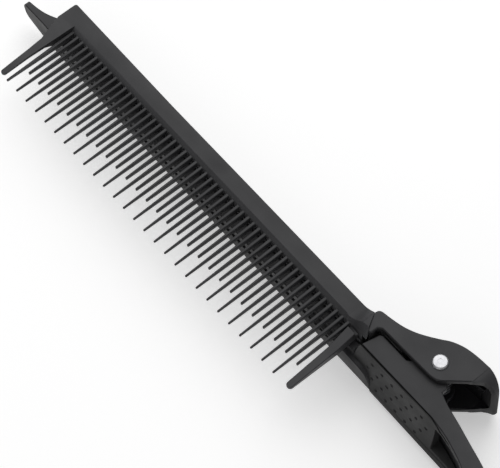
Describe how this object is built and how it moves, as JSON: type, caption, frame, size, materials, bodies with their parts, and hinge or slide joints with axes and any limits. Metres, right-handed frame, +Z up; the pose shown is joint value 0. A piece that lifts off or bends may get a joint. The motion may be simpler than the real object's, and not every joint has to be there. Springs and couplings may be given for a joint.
{
  "type": "sectioning clip",
  "caption": "Long hair sectioning clip with a comb jaw on a thumb lever, closed by a torsion spring against a straight lower jaw with a dimpled finger grip",
  "frame": {"origin": "bottom centre of the bounding box, with the clip lying on its side on the far cheek of the thumb lever", "axes": "+X runs from the nose of the lower jaw to the handle end, +Y from the tooth tips to the spine of the comb, +Z up along the pivot rivet"},
  "size_m": [0.1358, 0.027, 0.0139],
  "materials": {
    "lever_plastic": "satin",
    "comb_plastic": "satin",
    "arm_plastic": "satin",
    "pad_plastic": "matte",
    "rivet_metal": "polished",
    "spring_wire": "satin"
  },
  "bodies": {
    "lower": {"lower_arm": "arm_plastic", "finger_pad": "pad_plastic", "spring_lower_half": "spring_wire"},
    "upper": {"thumb_lever": "lever_plastic", "comb": "comb_plastic", "pivot_rivet": "rivet_metal", "spring_upper_half": "spring_wire"}
  },
  "joints": [
    {"name": "jaw_hinge", "type": "hinge", "parent": "lower", "child": "upper", "pos_m": [0.04253, 0.00795, 0.00675], "axis": [0, 0, -1], "range_deg": [0, 28], "stiffness_Nm_per_rad": 0.08, "springref_deg": -28.65}
  ]
}
